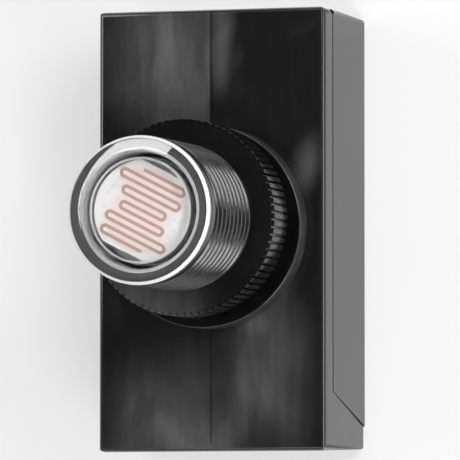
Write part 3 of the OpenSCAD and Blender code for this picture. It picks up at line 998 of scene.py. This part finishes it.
@dataclass
class ClampRings:
    """The knurled lock nut, and the loose washer that lies on the box's front."""

    axis: Vector
    nut: Level = field(default_factory=lambda: Level.of("lock_nut"))
    washer: Level = field(default_factory=lambda: Level.of("sealing_washer"))
    teeth: int = 80
    tooth: float = 0.4 * MM
    tooth_tip: float = 0.58
    tooth_gap: float = 0.2
    chamfer: float = 0.15 * MM
    nut_bore: float = 8.64 * MM
    washer_bore: float = 9.75 * MM
    edge: float = 0.3 * MM
    steep: float = 0.7
    gate_radius: float = 0.6 * MM
    gate_flare: float = 1.1
    gate_depth: float = 0.1 * MM
    gate_turn: float = -80.0

    def build(self) -> None:
        """Builds the two rings."""
        nut = as_object("lock_nut_moulding", self.nut_mesh(), sharp=60.0, flats=True)
        settle(nut, NUT_PLASTIC, "nut_plastic", "lock_nut")
        washer = as_object("sealing_washer_ring", self.washer_mesh())
        settle(washer, WASHER_RUBBER, "washer_rubber", "sealing_washer")
        share_out(washer, (WASHER_EDGE,), lambda face: int(abs(face.normal.z) < self.steep))

    def washer_mesh(self) -> bmesh.types.BMesh:
        """Turns the washer with soft edges about its own middle, which has slipped off the stem's axis.

        Returns:
            The washer's mesh.
        """
        ring = self.washer
        corners = [(self.washer_bore, ring.low), (ring.radius, ring.low), (ring.radius, ring.high),
                   (self.washer_bore, ring.high)]
        radii = [0, self.edge, self.edge, self.edge / 2]
        return lathe(soften(corners, radii, steps=6), middle("sealing_washer"))

    def nut_mesh(self) -> bmesh.types.BMesh:
        """Turns the nut's ring, presses the gaps of its knurl and sinks the gate's mark.

        Returns:
            The nut's mesh.
        """
        low, high, rim = self.nut.low, self.nut.high, self.nut.radius
        mouth = self.nut_bore + self.chamfer
        corners = [(mouth, low), (rim, low), (rim, high), (mouth, high), (self.nut_bore, high - self.chamfer),
                   (self.nut_bore, low + self.chamfer)]
        edge = self.chamfer / 2
        ring = lathe(soften(corners, [0, edge, edge, edge, edge, 0], steps=3), self.axis, Round.KNURLED)
        return self.cut_gate(self.knurled(ring))

    def cut_gate(self, mesh: bmesh.types.BMesh) -> bmesh.types.BMesh:
        """Sinks the round mark of the moulding gate into the nut's front.

        Args:
            mesh: The nut, which is freed.

        Returns:
            The nut with the mark.
        """
        out = (self.nut_bore + self.nut.radius) / 2
        turn = math.radians(self.gate_turn)
        place = Vector((self.axis.x + out * math.cos(turn), self.axis.y + out * math.sin(turn), 0))
        low, high = self.nut.high - self.gate_depth, self.nut.high + self.gate_depth
        corners = [(0, low), (self.gate_radius, low), (self.gate_radius * self.gate_flare, high), (0, high)]
        cutter = lathe(corners, place, Round.PLAIN)
        nut = as_object("nut_blank", mesh)
        tool = as_object("gate_tool", cutter)
        nut.modifiers.clear()
        cut = nut.modifiers.new("gate", "BOOLEAN")
        cut.operation = "DIFFERENCE"
        cut.object = tool
        graph = bpy.context.evaluated_depsgraph_get()
        made = bmesh.new()
        made.from_mesh(bpy.data.meshes.new_from_object(nut.evaluated_get(graph)))
        for spare in (nut, tool):
            bpy.data.objects.remove(spare)
        return made

    def knurled(self, ring: bmesh.types.BMesh) -> bmesh.types.BMesh:
        """Presses the gaps between the teeth into the ring's rim.

        Args:
            ring: The turned ring, whose mesh is replaced.

        Returns:
            The ring with its teeth.
        """
        tree = Tree("nut_knurl")
        root = tree.size("Root Radius", self.nut.radius - self.tooth)
        count = tree.size("Teeth", float(self.teeth))
        axis = tree.size("Axis", tuple(self.axis), "Vector")
        away = tree.vector("SUBTRACT", tree.node("GeometryNodeInputPosition").outputs[0], axis)
        x, y, _ = tree.node("ShaderNodeSeparateXYZ", Vector=away).outputs
        pitches = tree.math("MULTIPLY", tree.math("ARCTAN2", y, x), tree.math("DIVIDE", count, math.tau))
        share = tree.math("SUBTRACT", tree.math("FRACT", tree.math("ADD", pitches, 0.5)), 0.5)
        press = tree.node("ShaderNodeMapRange", {"interpolation_type": "SMOOTHSTEP"},
                          Value=tree.math("MULTIPLY", tree.math("ABSOLUTE", share), 2.0),
                          From_Min=tree.size("Tip Share", self.tooth_tip),
                          From_Max=tree.math("SUBTRACT", 1.0, tree.size("Gap Share", self.tooth_gap)))
        reach = tree.math("SQRT", tree.math("ADD", tree.math("MULTIPLY", x, x), tree.math("MULTIPLY", y, y)))
        beyond = tree.math("MAXIMUM", 0.0, tree.math("SUBTRACT", reach, root))
        inwards = tree.math("DIVIDE", tree.math("MULTIPLY", beyond, press.outputs[0]), reach)
        inwards = tree.math("MULTIPLY", inwards, -1.0)
        offset = tree.point(tree.math("MULTIPLY", x, inwards), tree.math("MULTIPLY", y, inwards))
        moved = tree.node("GeometryNodeSetPosition", Geometry=tree.inlet.outputs["Geometry"], Offset=offset)
        tree.close(moved.outputs[0], Vector(), NUT_PLASTIC.material())
        source = bpy.data.meshes.new("nut_ring")
        ring.to_mesh(source)
        ring.clear()
        ring.from_mesh(tree.mesh(source))
        return ring


@dataclass
class LensCap:
    """The clear cap: a bevelled flange on the stem's end, a window, and a spigot inside the bore."""

    axis: Vector
    lens: Level = field(default_factory=lambda: Level.of("lens_cap"))
    flange: float = LENS_FLANGE
    window: float = 1.4 * MM
    spigot_in: float = 6.4 * MM
    spigot_out: float = 7.05 * MM
    bevel: float = 0.35 * MM
    crown: float = 7.3 * MM
    slope: float = 0.2
    edge: float = 0.12 * MM
    fillet: float = 0.32 * MM
    seat_ring: float = 7.45 * MM
    air: float = 0.03 * MM

    @property
    def seat(self) -> float:
        """Level of the flange's underside, a film of air above the stem's end."""
        return self.lens.high - self.flange + self.air

    def build(self) -> None:
        """Builds the cap and gives each kind of its surface a finish."""
        top, low, rim = self.lens.high, self.lens.low, self.lens.radius
        inside = top - self.window
        seat, edge = self.seat, self.edge
        inset = rim - self.bevel
        corners = [(0, inside), (self.spigot_in, inside), (self.spigot_in, low), (self.spigot_out, low),
                   (self.spigot_out, seat), (self.seat_ring, seat), (rim, seat),
                   (rim, top - self.drop(rim) - self.bevel), (inset, top - self.drop(inset)),
                   (self.crown, top), (0, top)]
        radii = [0, self.fillet, edge, edge, edge, 0, edge, edge, edge, edge, 0]
        cap = as_object("clear_lens_cap", lathe(soften(corners, radii), self.axis))
        settle(cap, LENS_PLASTIC, "clear_lens", "lens_cap")
        share_out(cap, (LENS_SEAT, LENS_FROST, LENS_PAINTED_STEM_END), lambda face: self.zone(face.center).value)

    def drop(self, out: float) -> float:
        """Gives how far the flange's sloped front lies below the window at a radius."""
        return max(0.0, out - self.crown) * self.slope

    def zone(self, spot: Vector) -> LensZone:
        """Gives the kind of surface at a spot on the cap.

        Args:
            spot: Middle of a face.

        Returns:
            The zone that it lies in.
        """
        out = math.hypot(spot.x - self.axis.x, spot.y - self.axis.y)
        below = self.lens.high - spot.z - self.drop(out)
        hair = self.edge / 4
        if out > self.spigot_out + self.edge:
            if below < hair:
                return LensZone.POLISHED
            # Outside the seat ring the underside gets the painted-in grey of the stem end seen through it.
            if out > self.seat_ring and spot.z < self.seat + hair:
                return LensZone.BEDDED
            return LensZone.FROSTED if below < self.bevel or out < self.seat_ring else LensZone.HAZED
        if below < self.edge:
            return LensZone.POLISHED
        if out > self.spigot_in:
            at_end = spot.z < self.lens.low + self.edge
            return LensZone.FROSTED if out > self.spigot_out - self.edge or at_end else LensZone.HAZED
        if self.spigot_in - self.fillet < out and below < self.window + self.fillet:
            return LensZone.FROSTED
        return LensZone.HAZED if out > self.spigot_in - hair else LensZone.POLISHED


@dataclass
class LightCell:
    """The cell behind the window: its disc, zigzag track, holder, leads and sleeves."""

    axis: Vector
    turn: float = -27.0
    edge: float = 0.12 * MM
    edge_steps: int = 3
    edge_angle: float = 50.0

    def build(self) -> None:
        """Builds the disc with a soft edge."""
        glaze = CellGlaze("cell_glaze", (0.95, 0.945, 0.935), Gloss.SATIN, grains=3500.0, depth=0.006 * MM,
                          centre=(self.axis.x, self.axis.y), turn=self.turn)
        disc = as_object("cell_plate", flatten(merged_copy("cell_disc")))
        soft = disc.modifiers.new("soft edge", "BEVEL")
        soft.width = self.edge
        soft.segments = self.edge_steps
        soft.angle_limit = math.radians(self.edge_angle)
        # The soft edge comes before the normals of the flat faces.
        disc.modifiers.move(1, 0)
        settle(disc, glaze, "cell_ceramic", "cell_disc")

    def dress(self) -> None:
        """Finishes the pieces that keep their solids."""
        finish_node("cell_track", TRACK_FILM)
        finish_node("cell_holder", HOLDER_PLASTIC)
        finish_node("cell_leads", TINNED_WIRE)
        finish_node("lead_sleeves", SLEEVE_PLASTIC)


@dataclass
class Electronics:
    """The board and its components, closed inside the box."""

    finishes: dict[str, Finish] = field(default_factory=lambda: {
        "circuit_board": BOARD_LAMINATE,
        "relay": RELAY_CASE,
        "film_capacitor": FILM_CASE,
        "smoothing_capacitor": CAN_SLEEVE,
        "varistor": VARISTOR_COAT,
        "rectifier_diodes": DIODE_CASE,
        "zener_diode": ZENER_GLASS,
        "resistors": RESISTOR_COAT,
        "transistor": DIODE_CASE,
        "wire_eyelets": EYELET_BRASS,
    })

    def dress(self) -> None:
        """Finishes every component."""
        for node, finish in self.finishes.items():
            finish_node(node, finish)


@dataclass(frozen=True)
class Softbox:
    """A lamp with an even front, aimed at the part: a box, or an oval card that one piece alone mirrors."""

    name: str
    place: Triple
    aim: Triple
    width: float
    height: float
    radiance: float
    only: str = ""

    def build(self) -> None:
        """Hangs the lamp."""
        lamp = bpy.data.lights.new(self.name, "AREA")
        lamp.shape = "ELLIPSE" if self.only else "RECTANGLE"
        lamp.size = self.width
        lamp.size_y = self.height
        lamp.energy = self.radiance * math.pi * self.width * self.height
        hung = bpy.data.objects.new(self.name, lamp)
        bpy.context.scene.collection.objects.link(hung)
        hung.location = self.place
        hung.rotation_mode = "QUATERNION"
        hung.rotation_quaternion = (Vector(self.aim) - Vector(self.place)).to_track_quat("-Z", "Y")
        if self.only:
            lit = bpy.data.collections.new(self.name)
            lit.objects.link(bpy.data.objects[self.only])
            hung.light_linking.receiver_collection = lit
            hung.visible_diffuse = False
            hung.visible_transmission = False


@dataclass
class Studio:
    """Pale floor, soft lamps, and a camera that looks down on the part as it lies on its back.

    The focal length and the place of the front's middle are in pixels of the photograph.
    """

    face: Vector
    side_turn: float = 18.2
    tip: float = -3.2
    distance: float = 0.8
    photo_side: float = 460.0
    focal_pixels: float = 6500.0
    face_pixel: tuple[float, float] = (210.7, 229.8)
    sensor: float = 36.0
    nearest: float = 0.01
    farthest: float = 10.0
    floor_half: float = 1.5
    floor_drop: float = 0.02 * MM
    paper_shades: tuple[Colour, Colour] = ((0.8, 0.8, 0.8), (0.77, 0.77, 0.77))
    paper_patches: float = 40.0
    paper_glow: float = 0.48
    horizon: float = 0.85
    zenith: float = 0.07
    zenith_from: float = 0.85
    lamps: tuple[Softbox, ...] = (
        Softbox("left_box", (-0.42, 0.12, 0.27), (0, 0, 0.02), 0.3, 0.22, 4.0),
        Softbox("upper_box", (0.05, 0.45, 0.3), (0, 0, 0.02), 0.3, 0.2, 3.0),
        Softbox("right_key", (0.45, 0.28, 0.46), (0, 0, 0.03), 0.38, 0.24, 9.0),
        Softbox("lower_key", (0.31, -0.39, 0.5), (0, 0, 0.03), 0.26, 0.24, 10.0),
        Softbox("low_strip", (0.45, -0.12, 0.1), (0, 0, 0.03), 0.4, 0.14, 5.0),
        Softbox("lower_box", (-0.06, -0.5, 0.3), (0, 0, 0.03), 0.36, 0.16, 3.0),
        Softbox("lens_card", (-0.25, 0.23, 0.61), (0, 0, 0.04), 0.64, 0.23, 13.0, "clear_lens_cap"),
    )

    def build(self) -> None:
        """Builds floor, world, lamps and camera, and lets light through the clear lens unblurred."""
        self.floor()
        self.world()
        for lamp in self.lamps:
            lamp.build()
        self.camera()
        bpy.context.scene.view_settings.view_transform = "Standard"
        bpy.context.scene.cycles.blur_glossy = 0.0

    def floor(self) -> None:
        """Lays the floor just under the part."""
        half = self.floor_half
        data = bpy.data.meshes.new("floor")
        corners = [(-half, -half, 0), (half, -half, 0), (half, half, 0), (-half, half, 0)]
        data.from_pydata(corners, [], [(0, 1, 2, 3)])
        ground = bpy.data.objects.new("floor", data)
        ground.location.z = -self.floor_drop
        bpy.context.scene.collection.objects.link(ground)
        data.materials.append(self.paper())

    def paper(self) -> bpy.types.Material:
        """Makes the floor's pale paper, which glows a little to the eye, in reflections and through the lens.

        Returns:
            The paper's material.
        """
        shader = Shader("floor_paper")
        cloud = shader.noise(Cloud(self.paper_patches))
        shader.fix(Base_Color=shader.mix(cloud, *self.paper_shades), Roughness=Gloss.MATT.value)
        path = shader.node("ShaderNodeLightPath").outputs
        seen = shader.math("MAXIMUM", path["Is Camera Ray"], path["Is Glossy Ray"])
        seen = shader.math("MAXIMUM", seen, path["Is Transmission Ray"])
        glow = shader.node("ShaderNodeEmission", Strength=1.0)
        both = shader.node("ShaderNodeMixShader", Fac=shader.math("MULTIPLY", seen, self.paper_glow))
        shader.join(both.inputs[1], shader.body.outputs[0])
        shader.join(both.inputs[2], glow.outputs[0])
        shader.join(shader.tree.nodes["Material Output"].inputs["Surface"], both.outputs[0])
        return shader.material

    def world(self) -> None:
        """Fills the room with a soft light, bright near the horizon and dim overhead."""
        world = bpy.data.worlds.new("room")
        world.use_nodes = True
        room = Nodes(world.node_tree)
        towards = room.node("ShaderNodeTexCoord").outputs["Generated"]
        height = room.node("ShaderNodeSeparateXYZ", Vector=towards).outputs["Z"]
        level = room.node("ShaderNodeMapRange", Value=height, From_Max=self.zenith_from, To_Min=self.horizon,
                          To_Max=self.zenith)
        sky = room.tree.nodes["Background"]
        sky.inputs["Color"].default_value = (1, 1, 1, 1)
        room.join(sky.inputs["Strength"], level.outputs["Result"])
        bpy.context.scene.world = world

    def camera(self) -> None:
        """Sets the camera at the photograph's viewing angle, with the box's long side upright."""
        turn, tip = math.radians(self.side_turn), math.radians(self.tip)
        back = Vector((math.sin(turn) * math.cos(tip), math.sin(tip), math.cos(turn) * math.cos(tip)))
        right = Vector((0, 1, 0)).cross(back).normalized()
        up = back.cross(right)
        per_pixel = self.distance / self.focal_pixels
        shift_right = (self.photo_side / 2 - self.face_pixel[0]) * per_pixel
        shift_up = (self.face_pixel[1] - self.photo_side / 2) * per_pixel
        seat = self.face + back * self.distance
        aim = self.face + right * shift_right + up * shift_up
        back = (seat - aim).normalized()
        right = Vector((0, 1, 0)).cross(back).normalized()
        turned = Matrix((right, back.cross(right), back)).transposed()
        data = bpy.data.cameras.new("camera")
        data.sensor_width = self.sensor
        data.lens = self.focal_pixels / self.photo_side * self.sensor
        data.clip_start = self.nearest
        data.clip_end = self.farthest
        eye = bpy.data.objects.new("camera", data)
        eye.location = seat
        eye.rotation_mode = "QUATERNION"
        eye.rotation_quaternion = turned.to_quaternion()
        bpy.context.scene.collection.objects.link(eye)
        bpy.context.scene.camera = eye


def main() -> None:
    """Builds the part piece by piece, then its studio."""
    logging.basicConfig(level=logging.INFO, format="%(name)s: %(message)s")
    axis = middle("lens_cap")
    BoxShell(axis).build()
    Stem(axis).build()
    ClampRings(axis).build()
    LensCap(axis).build()
    cell = LightCell(axis)
    cell.build()
    cell.dress()
    Electronics().dress()
    Studio(Vector((0, 0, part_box("sealing_washer")[0].z))).build()


if __name__ == "__main__":
    main()
